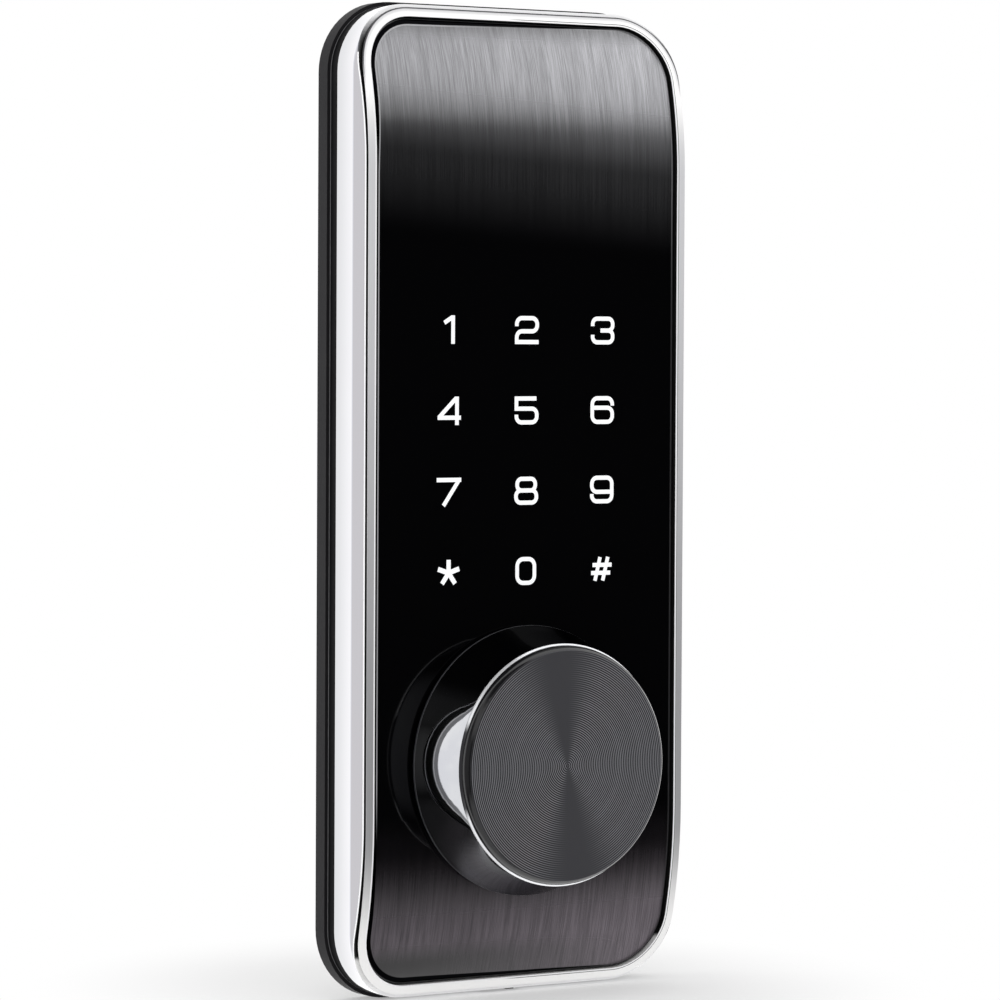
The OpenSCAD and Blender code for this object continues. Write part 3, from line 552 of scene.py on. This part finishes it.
def panelFinish():
    f = Finish("smokedPanel", Specular_IOR_Level=0.6)
    x, _, z = f.axes(f.placed())
    down, left = -z, -x
    streak = f.noise((1 / panel["brushMm"], 0.5, 0.045), detail=2, roughness=0.7)
    band = f.noise((0.9, 0.2, 0.012), detail=2)
    brush = (streak * (1 - panel["bands"]) + band * panel["bands"]).rise(0.35, 0.65)
    # each band's painted reflection grows from a faint haze, and painted shade darkens it again by the
    # edge
    lean = z + panel["lean"] * x
    top = panel["topHaze"] * lean.rise(*panel["topHazeMm"])
    top = top + (1 - panel["topHaze"]) * lean.rise(*panel["topMm"])
    top = top * (1 - panel["topEdgeDark"] * z.rise(*panel["topEdgeMm"]))
    foot = panel["footHaze"] * down.rise(*panel["footHazeMm"])
    foot = foot + (1 - panel["footHaze"]) * down.rise(*panel["footMm"])
    low, high = panel["footEdgeLeftMm"]
    leftwards = ((left - low) / (high - low)).most(0).least(1)
    foot = foot * (1 - panel["footEdgeDark"] * down.rise(*panel["footEdgeMm"]) * leftwards)
    inwards = insideEdge(x, z, "touch_panel", curve["panelInsetMm"])
    ground = (panel["chamferMm"] - inwards).above(0, 0.03)
    corners = down.rise(*panel["cornerFootMm"]).most(z.rise(*panel["cornerTopMm"]))
    corners = corners * left.rise(*panel["cornerLeftMm"])
    reach = panel["chamferMm"] + panel["borderMm"]
    reach = reach + panel["cornerMm"] * corners - panel["rightMm"] * x.rise(*panel["rightFromMm"])
    # painted shade: a black band along the edge
    border = (reach - inwards).above(0, 0.05)
    past = inwards - reach + 0.06
    # painted highlight line inside the border
    line = past.above(0, 0.03) * (panel["lineWideMm"] - past).above(0, 0.03)
    lineLeft = left.rise(*panel["lineLeftMm"]) * z.rise(*panel["lineFootMm"])
    lineRight = panel["lineRight"] + panel["lineRightTop"] * z.rise(*panel["lineTopMm"])
    line = line * lineLeft.most(x.rise(*panel["lineRightMm"]) * lineRight)
    side = (panel["side"] * x).most(panel["sideLeast"])
    topTone = brushed(f, brush, panel["topTone"], panel["topSpread"])
    footTone = brushed(f, brush, panel["footTone"], panel["footSpread"])
    tone = f.blend(top * (panel["topCover"] + side), panel["black"], topTone)
    tone = f.blend(foot * (panel["footCover"] + panel["footSide"] * side), tone, footTone)
    tone = f.blend(border, tone, panel["black"])
    tone = f.blend(line, tone, panel["line"])
    brushedAndPaintedLight = top.most(foot) * (1 - border)
    f.feed(Base_Color=f.blend(ground, tone, panel["chamfer"]),
           Metallic=(brushedAndPaintedLight * 0.7).most(border) * (1 - ground.most(line)),
           Roughness=0.05 + 0.25 * brushedAndPaintedLight.most(ground))
    f.bump(brush * brushedAndPaintedLight, 0.003)
    return f


knob = {
    "tone": (0.46, 0.465, 0.48), "haze": (0.42, 0.425, 0.45),
    "grazing": (0.28, 0.28, 0.29, 1),  # how much the flank mirrors at a flat angle
    "hollow": 0.008, "hollowMm": 4.8,  # the flank is polished a little hollow about this height
    "lip": (0.035, 0.035, 0.04),       # painted highlight on the thin edge of the foot
    "lipMm": 0.35, "lipSoftMm": 0.12,
}


def knobFinish():
    f = Finish("blackMirror", Specular_Tint=knob["grazing"])
    haze = f.noise(0.12)
    depth = -f.axes(f.placed())[1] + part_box("knob_body")[1].y / mm  # from the foot, in mm
    # painted highlight: a lighter non-metal line on the foot's edge
    lip = 1 - depth.rise(knob["lipMm"], knob["lipMm"] + knob["lipSoftMm"])
    polished = f.blend(haze.rise(0.4, 0.7), knob["tone"], knob["haze"])
    f.feed(Base_Color=f.blend(lip, polished, knob["lip"]), Metallic=1 - lip,
           Roughness=0.02 + 0.03 * haze + 0.3 * lip)
    hollow = depth - knob["hollowMm"]
    f.bump(0.003 * haze - knob["hollow"] * hollow * hollow, 1.0)
    return f


ring = {
    # turning lines on the bright metal, made white and mostly non-metal as a painted highlight
    "light": (0.93, 0.93, 0.95), "dark": (0.80, 0.81, 0.84),
    "lines": 38,                   # turning lines, in radians for each mm
    "dullAndPaintedShade": (0.05, 0.05, 0.055),   # painted shade: a dark stretch at the left, this far up and down from the middle
    "paintedShadeMm": (6.5, 9.0),
    "holdMm": 2.65, "steps": 256,
    "cutMm": 0.27,                 # the diamond-cut edge that shines
}


def ringFinish():
    f = Finish("diamondCutRing", Metallic=0.35)
    x, _, z = f.axes(f.placed())
    turnLine = ((x * x + z * z) ** 0.5 * ring["lines"]).sin()
    cut = f.blend(turnLine * 0.5 + 0.5, ring["light"], ring["dark"])
    # painted shade on the ring's left stretch
    dullAndPaintedShade = (1 - abs(z).rise(*ring["paintedShadeMm"])) * (-x).rise(0, 5)
    f.feed(Base_Color=f.blend(dullAndPaintedShade, cut, ring["dullAndPaintedShade"]), Roughness=0.10 + 0.05 * abs(turnLine))
    f.bump(turnLine, 0.002)
    return f


cap = {
    "calm": (0.048, 0.048, 0.054),      # above and below the middle, outside the painted highlight
    # lit ridges and dark grooves of the turning marks, painted as highlight
    "ridge": (0.36, 0.36, 0.39), "groove": (0.008, 0.008, 0.010),
    "pitchMm": 0.38, "depthMm": 0.012,  # of the turning marks
    "paintedWedges": (0.10, 0.55),               # painted highlight on the marks from here on, as a share of the radius
    "lean": 0.12,                       # the calm stretch leans by this
    "band": (0.008, 0.008, 0.009),      # domed side, up to this far behind the front
    "bandMm": (0.12, 0.06),
}


def capFinish():
    f = Finish("spunBlack", Specular_IOR_Level=0.5)
    front = -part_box("knob_cap")[0].y / mm
    x, y, z = f.axes(f.placed())
    radius = (x * x + z * z) ** 0.5
    bandFrom, bandTo = cap["bandMm"]
    face = (-y).rise(front - bandFrom, front - bandTo)
    wave = (radius * (2 * math.pi / cap["pitchMm"])).sin() * 0.5 + 0.5
    fine = f.noiseOn(f.node("ShaderNodeCombineXYZ", None, radius * 5, 0.0, 0.0))
    cutLine = (wave ** 5) * (0.55 + 0.9 * fine)
    # painted highlight: the turning marks shine to the left and right, and lie calm above and below the
    # middle
    paintedWedges = (abs(x + cap["lean"] * z) / (radius + 0.2)).rise(*cap["paintedWedges"])
    marks = f.blend(cutLine, cap["groove"], cap["ridge"])
    tone = f.blend(paintedWedges * (0.75 + 0.25 * fine), cap["calm"], marks)
    f.feed(Base_Color=f.blend(face, cap["band"], tone), Metallic=0.5 * face,
           Roughness=0.12 + face * (0.24 + 0.1 * fine))
    f.bump(cutLine * face * paintedWedges, cap["depthMm"])
    return f


def steelFinish(name, tone, dullAndPaintedShade, roughness, alongMm, acrossMm, axis):
    f = Finish(name, Metallic=1.0)
    scale = [1 / acrossMm] * 3
    scale[axis] = 1 / alongMm
    line = f.noise(scale)
    patch = f.noise(0.11)
    f.feed(Base_Color=f.blend(patch.rise(0.35, 0.7) * 0.8, tone, dullAndPaintedShade),
           Roughness=roughness + 0.2 * line * patch)
    f.bump(line, 0.006)
    return f


post = {
    "tone": (0.62, 0.62, 0.60), "dullAndPaintedShade": (0.46, 0.46, 0.44),
    "centreMm": 19.05, "boreMm": 2.15, "pitchMm": 0.8, "depthMm": 0.22,  # thread inside the bore
}


def postFinish():
    f = Finish("zincPlate", Metallic=1.0)
    x, y, z = f.axes(f.placed())
    across = x - x.sign() * post["centreMm"]
    boreSquared = post["boreMm"] ** 2
    bore = 1 - (across * across + z * z).rise(boreSquared, boreSquared + 0.3)
    thread = (y * (2 * math.pi / post["pitchMm"]) + z.turnTo(across)).sin()
    lathe = f.noise((0.2, 5.0, 0.2))
    patch = f.noise(0.11)
    f.feed(Base_Color=f.blend(patch.rise(0.35, 0.7) * 0.8, post["tone"], post["dullAndPaintedShade"]),
           Roughness=0.26 + 0.2 * lathe * patch)
    f.bump(thread * bore + 0.04 * lathe * (1 - bore), post["depthMm"])
    return f


steels = {  # slot: name, tone, dull tone, roughness, streak length and width, axis of the streaks
    "screw_steel": ("nickelScrew", (0.70, 0.69, 0.66), (0.52, 0.51, 0.49), 0.22, 0.6, 0.6, 1),
    "spring_steel": ("springSteel", (0.34, 0.35, 0.37), (0.22, 0.22, 0.24), 0.30, 2.0, 0.25, 0),
    "clutch_steel": ("pressedSteel", (0.50, 0.50, 0.49), (0.38, 0.37, 0.35), 0.32, 1.2, 0.30, 1),
    "port_steel": ("tinShell", (0.66, 0.66, 0.67), (0.50, 0.50, 0.52), 0.28, 1.0, 0.20, 2),
    "motor_steel": ("motorCan", (0.58, 0.58, 0.57), (0.44, 0.44, 0.43), 0.30, 3.0, 0.15, 2),
    "bush_brass": ("turnedBrass", (0.74, 0.55, 0.27), (0.55, 0.40, 0.19), 0.28, 0.3, 3.0, 1),
}


def plasticFinish(name, tone, second, roughness, grainMm, depthMm):
    f = Finish(name)
    grain = f.noise(1 / grainMm)
    patch = f.noise(0.15)
    f.feed(Base_Color=f.blend(patch.rise(0.35, 0.7), tone, second),
           Roughness=roughness + 0.18 * grain)
    f.bump(grain, depthMm)
    return f


plastics = {  # slot: name, tone, second tone, roughness, grain and its depth
    "guide_white": ("milkyGuide", (0.74, 0.75, 0.76), (0.68, 0.69, 0.71), 0.38, 0.5, 0.01),
    "light_white": ("lampBody", (0.82, 0.81, 0.72), (0.76, 0.74, 0.60), 0.30, 0.3, 0.006),
    "chip_black": ("mouldedBlack", (0.022, 0.022, 0.024), (0.035, 0.035, 0.037), 0.50, 0.25, 0.012),
    "socket_ivory": ("ivoryNylon", (0.72, 0.67, 0.54), (0.66, 0.60, 0.47), 0.42, 0.4, 0.01),
    "cam_plastic": ("acetal", (0.68, 0.68, 0.66), (0.61, 0.61, 0.58), 0.36, 0.4, 0.008),
}


board = {
    "mask": (0.012, 0.085, 0.035), "overTrack": (0.030, 0.150, 0.060), "pad": (0.72, 0.62, 0.38),
    "upLines": 2.1, "acrossLines": 1.6,  # how close the tracks lie, in radians for each mm
    "depthMm": 0.02,
}


def boardFinish():
    f = Finish("printedBoard", Specular_IOR_Level=0.5)
    x, _, z = f.axes(f.placed())
    # copper lines under the mask: two sets of tracks and the pads at their crossings
    upright = ((x * board["upLines"]).sin() * 0.5 + 0.5).rise(0.80, 0.90)
    level = ((z * board["acrossLines"]).sin() * 0.5 + 0.5).rise(0.82, 0.92)
    patch = f.noise(0.16, detail=1).rise(0.46, 0.52)
    track = upright * patch + level * (1 - patch)
    pad = (upright * level).rise(0.4, 0.7)
    f.feed(Base_Color=f.blend(pad, f.blend(track, board["mask"], board["overTrack"]), board["pad"]),
           Metallic=pad * 0.9, Roughness=0.32 + 0.1 * track)
    f.bump(track, board["depthMm"])
    return f


dress("rubber", rubberFinish())
dress("black_plate", plateFinish())
dress("case_chrome", chromeFinish())
dress("rim_chrome", rimFinish())
dress("panel_black", panelFinish())
dress("knob_black", knobFinish())
dress("cap_spun", capFinish())
dress("board_green", boardFinish())
dress("post_steel", postFinish())
for slot, values in steels.items():
    dress(slot, steelFinish(*values))
for slot, values in plastics.items():
    dress(slot, plasticFinish(*values))
print("lock: finishes on")


def placePiece(name, mesh, finish, body):
    piece = bpy.data.objects.new(name, mesh)
    bpy.context.scene.collection.objects.link(piece)
    mesh.materials.append(finish.material)
    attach(piece, body)
    return piece


def replacePiece(name, bm, finish, body, node):  # stands for one node of the solids
    for edge in bm.edges:  # soft round the axis, sharp at the corners of the profile
        edge.smooth = len(edge.link_faces) == 2 and edge.calc_face_angle() < math.radians(25)
    for face in bm.faces:
        face.smooth = True
    mesh = bpy.data.meshes.new(name)
    bm.to_mesh(mesh)
    bm.free()
    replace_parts(placePiece(name, mesh, finish, body), node)


def spinProfile(bm, profile, steps):  # profile: radius and distance from the door, mm, a closed loop
    verts = [bm.verts.new(Vector((radius, -depth, 0)) * mm) for radius, depth in profile]
    edges = [bm.edges.new(pair) for pair in zip(verts, verts[1:] + verts[:1])]
    bmesh.ops.spin(bm, geom=edges, cent=(0, 0, 0), axis=(0, 1, 0), angle=2 * math.pi, steps=steps,
                   use_merge=True)
    bmesh.ops.remove_doubles(bm, verts=bm.verts, dist=mergeMm * mm)
    bmesh.ops.recalc_face_normals(bm, faces=bm.faces)


def makeRing():
    low, high = (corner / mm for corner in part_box("accent_ring"))
    back, front, outer, cut = -high.y, -low.y, high.x, ring["cutMm"]
    inner = outer - ring["holdMm"]
    bm = bmesh.new()
    spinProfile(bm, [(inner, back), (outer, back), (outer, front - cut), (outer - cut, front),
                     (inner, front)], ring["steps"])
    replacePiece("accentRing", bm, ringFinish(), "knob", "accent_ring")


screws = {  # countersunk, with a cross recess
    "spotsMm": [(side * across, height) for side in (-1, 1) for across, height in
                ((26.4, 124.3), (28.5, 15.0), (26.4, -31.4))],
    "headMm": 2.8, "shankMm": 1.4,  # radii
    "backMm": 3.0, "coneMm": 1.6, "reachMm": 4.65,
    "crossHalfMm": 0.42, "crossReachMm": 1.55, "crossDeepMm": 0.85, "crossFoot": 0.62,
    "perSide": 4,
}


def crossLoop(scale):  # the outline of a cross recess, with as many points as the head's circle has
    half, reach = scale * screws["crossHalfMm"], scale * screws["crossReachMm"]
    perSide = screws["perSide"]
    arm = [(reach, -half), (reach, half), (half, half)]
    turns = [Matrix.Rotation(quarter * math.pi / 2, 2) for quarter in range(4)]
    corners = [turn @ Vector(corner) for turn in turns for corner in arm]
    sides = list(zip(corners, corners[1:] + corners[:1]))
    return [a.lerp(b, step / perSide) for a, b in sides for step in range(perSide)]


def circleLoop(radius, count):  # starts where the cross starts, below the right arm's middle
    first = -math.pi / count * screws["perSide"]
    angles = [first + 2 * math.pi * i / count for i in range(count)]
    return [Vector((radius * math.cos(angle), radius * math.sin(angle))) for angle in angles]


def makeScrews():
    bm = bmesh.new()
    count = 12 * screws["perSide"]  # a cross has twelve sides
    back, reach = screws["backMm"], screws["backMm"] + screws["reachMm"]
    shape = [  # outline and distance from the door, from the recess's floor round to the shank's tip
        (crossLoop(screws["crossFoot"]), back + screws["crossDeepMm"]),
        (crossLoop(1.0), back),
        (circleLoop(screws["headMm"], count), back),
        (circleLoop(screws["shankMm"], count), back + screws["coneMm"]),
        (circleLoop(screws["shankMm"], count), reach),
    ]
    for x, z in screws["spotsMm"]:
        loops = [[bm.verts.new(Vector((x + p.x, -depth, z + p.y)) * mm) for p in outline]
                 for outline, depth in shape]
        rings = [[bm.edges.new(pair) for pair in zip(loop, loop[1:] + loop[:1])] for loop in loops]
        for near, far in zip(rings, rings[1:]):
            bmesh.ops.bridge_loops(bm, edges=near + far)
        for end in (loops[0], loops[-1]):
            bm.faces.new(end)
    bmesh.ops.recalc_face_normals(bm, faces=bm.faces)
    finish = steelFinish(*steels["screw_steel"])
    replacePiece("plateScrews", bm, finish, "case", "plate_screws")


makeRing()
makeScrews()
print("lock: turned pieces and screws made")


figures = {
    "strokeMm": 0.76,
    "starStrokeMm": 0.88,
    "wide": 2.20,        # half the width and height along the stroke's middle, in mm
    "tall": 2.14,
    "thickMm": 0.035,
    "clearMm": 0.004,    # in front of the panel
    "layerMm": 0.003,    # each further stroke lies this much on the last
    "bendStep": 11,      # degrees
    "columnsMm": (-16.5, 0.0, 16.5),
    "rowsMm": (77.2, 62.8, 48.4, 34.0),
    "rows": ("123", "456", "789", "*0#"),
    "tone": (0.90, 0.91, 0.92), "speck": (0.82, 0.83, 0.84),
    "light": (1.0, 1.0, 1.0), "lightSpeck": (0.93, 0.95, 0.98),
    "glow": 0.25,
}


class Pen:  # draws a flat stroke by extruding and spinning one edge
    def __init__(self, bm, centre, stroke):
        self.bm, self.centre, self.stroke, self.half = bm, centre, 0, stroke / 2

    def start(self, x, z, heading):
        self.place, self.heading = Vector((x, 0, z)), math.radians(heading)
        self.stroke += 1
        across = self.left() * self.half
        ends = [self.bm.verts.new(self.world(self.place + reach)) for reach in (across, -across)]
        self.edge = [self.bm.edges.new(ends)]
        return self

    def world(self, flat):
        return (flat + self.centre + Vector((0, -figures["layerMm"] * self.stroke, 0))) * mm

    def ahead(self):
        return Vector((math.cos(self.heading), 0, math.sin(self.heading)))

    def left(self):
        return Vector((-math.sin(self.heading), 0, math.cos(self.heading)))

    def go(self, length):
        made = bmesh.ops.extrude_edge_only(self.bm, edges=self.edge)["geom"]
        self.edge = [g for g in made if isinstance(g, bmesh.types.BMEdge)]
        corners = [g for g in made if isinstance(g, bmesh.types.BMVert)]
        bmesh.ops.translate(self.bm, verts=corners, vec=self.ahead() * length * mm)
        self.place += self.ahead() * length
        return self

    def turn(self, radius, degrees):  # to the left when degrees are positive
        side = 1 if degrees > 0 else -1
        hub = self.place + self.left() * radius * side
        steps = max(3, round(abs(degrees) / figures["bendStep"]))
        made = bmesh.ops.spin(self.bm, geom=self.edge, cent=self.world(hub), axis=(0, -1, 0),
                              angle=math.radians(degrees), steps=steps, use_duplicate=False)
        self.edge = [g for g in made["geom_last"] if isinstance(g, bmesh.types.BMEdge)]
        self.place = hub + Matrix.Rotation(math.radians(degrees), 3, (0, -1, 0)) @ (self.place - hub)
        self.heading += math.radians(degrees)
        return self

    def to(self, x0, z0, x1, z1):
        self.start(x0, z0, math.degrees(math.atan2(z1 - z0, x1 - x0)))
        return self.go(math.hypot(x1 - x0, z1 - z0))

    def box(self, wide, low, high, bend):  # a closed ring with round corners
        upright = high - low - 2 * bend
        self.start(0, high, 0).go(wide - bend).turn(bend, -90).go(upright).turn(bend, -90)
        self.go(2 * wide - 2 * bend).turn(bend, -90).go(upright).turn(bend, -90).go(wide - bend)


def drawFigure(pen, sign):
    w, h, s = figures["wide"], figures["tall"], pen.half
    if sign == "1":
        pen.to(0.72, -h - s, 0.72, h + s)
        pen.to(-1.12, 1.20, 0.62, h + 0.1)
    elif sign == "2":
        r = 1.10
        pen.start(-w, h - 1.45, 90).go(1.45 - r).turn(r, -90).go(2 * w - 2 * r).turn(r, -90)
        pen.go(h + 0.22 - 2 * r).turn(r, -90).go(2 * w - 2 * r).turn(r, 90).go(h - 0.22 - r)
        pen.to(-w - s, -h, w + s * 0.8, -h)
    elif sign == "3":
        r = 0.98
        pen.start(-w, h - 1.35, 90).go(1.35 - r).turn(r, -90).go(2 * w - 2 * r).turn(r, -90)
        pen.go(h - 2 * r).turn(r, -90).go(1.7)
        pen.start(w - r, 0, 0).turn(r, -90).go(h - 2 * r).turn(r, -90)
        pen.go(2 * w - 2 * r).turn(r, -90).go(1.35 - r)
    elif sign == "4":
        pen.to(1.62, -h - s, 1.62, h + s)
        pen.to(-2.45, -1.22, 2.45, -1.22)
        pen.to(-2.15, -1.15, 1.45, h + 0.12)
    elif sign == "5":
        r = 1.10
        pen.to(w - 0.1, h, -w - s, h)
        pen.to(-w, h, -w, 0.32 - s)
        pen.start(-w, 0.32, 0).go(2 * w - r).turn(r, -90).go(h + 0.32 - 2 * r).turn(r, -90)
        pen.go(2 * w - 2 * r).turn(r, -90).go(0.28)
    elif sign in "69":
        r = 1.10
        pen.start(w, h - r - 0.25, 90).go(0.25).turn(r, 90).go(2 * w - 2 * r).turn(r, 90)
        pen.go(2 * h - 2 * r).turn(r, 90).go(2 * w - 2 * r).turn(r, 90)
        pen.go(h + 0.42 - 2 * r).turn(r, 90).go(2 * w - r)
    elif sign == "7":
        pen.to(-w - s, h, w + s, h)
        pen.to(w - 0.05, h, -1.15, -h - s * 0.8)
    elif sign == "8":
        pen.box(w - 0.25, 0.05, h, 0.95)
        pen.box(w, -h, 0.05, 1.00)
    elif sign == "0":
        pen.box(1.86, -h, h, 1.28)
    elif sign == "*":
        for arm in range(5):
            reach = math.radians(90 + 72 * arm)
            pen.to(0, 0, 2.35 * math.cos(reach), 2.35 * math.sin(reach))
    elif sign == "#":
        for side in (-0.85, 0.85):
            pen.to(side - 0.55, -h, side + 0.55, h)
        pen.to(-2.25, -0.72, 1.95, -0.72)
        pen.to(-1.95, 0.72, 2.25, 0.72)


def figureFinish():
    f = Finish("figureWhite", Emission_Strength=figures["glow"])
    speck = f.noise(3, detail=2)
    f.feed(Base_Color=f.blend(speck, figures["tone"], figures["speck"]),
           Emission_Color=f.blend(speck, figures["light"], figures["lightSpeck"]),
           Roughness=0.4 + 0.15 * speck)
    return f


def makeFigure(sign, x, z, front):  # a mesh of one figure
    drawn = bmesh.new()
    stroke = figures["starStrokeMm"] if sign == "*" else figures["strokeMm"]
    drawFigure(Pen(drawn, Vector((x, front - figures["clearMm"], z)), stroke), sign)
    if sign == "9":  # a six turned round
        bmesh.ops.rotate(drawn, verts=drawn.verts, cent=Vector((x, front, z)) * mm,
                         matrix=Matrix.Rotation(math.pi, 3, "Y"))
    bmesh.ops.remove_doubles(drawn, verts=drawn.verts, dist=mergeMm * mm)
    wall = bmesh.ops.extrude_face_region(drawn, geom=drawn.faces[:])["geom"]
    raised = [g for g in wall if isinstance(g, bmesh.types.BMVert)]
    bmesh.ops.translate(drawn, verts=raised, vec=(0, -figures["thickMm"] * mm, 0))
    bmesh.ops.recalc_face_normals(drawn, faces=drawn.faces)
    mesh = bpy.data.meshes.new("figure")
    drawn.to_mesh(mesh)
    drawn.free()
    return mesh


def makeFigures():
    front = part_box("touch_panel")[0].y / mm
    bm = bmesh.new()
    for z, signs in zip(figures["rowsMm"], figures["rows"]):
        for x, sign in zip(figures["columnsMm"], signs):
            bm.from_mesh(makeFigure(sign, x, z, front))
    mesh = bpy.data.meshes.new("keyFigures")
    bm.to_mesh(mesh)
    bm.free()
    piece = placePiece("keyFigures", mesh, figureFinish(), "case")
    piece.visible_glossy = False  # too faint to show in the knob's flank


makeFigures()
print("lock: key figures drawn")

print("lock: done")
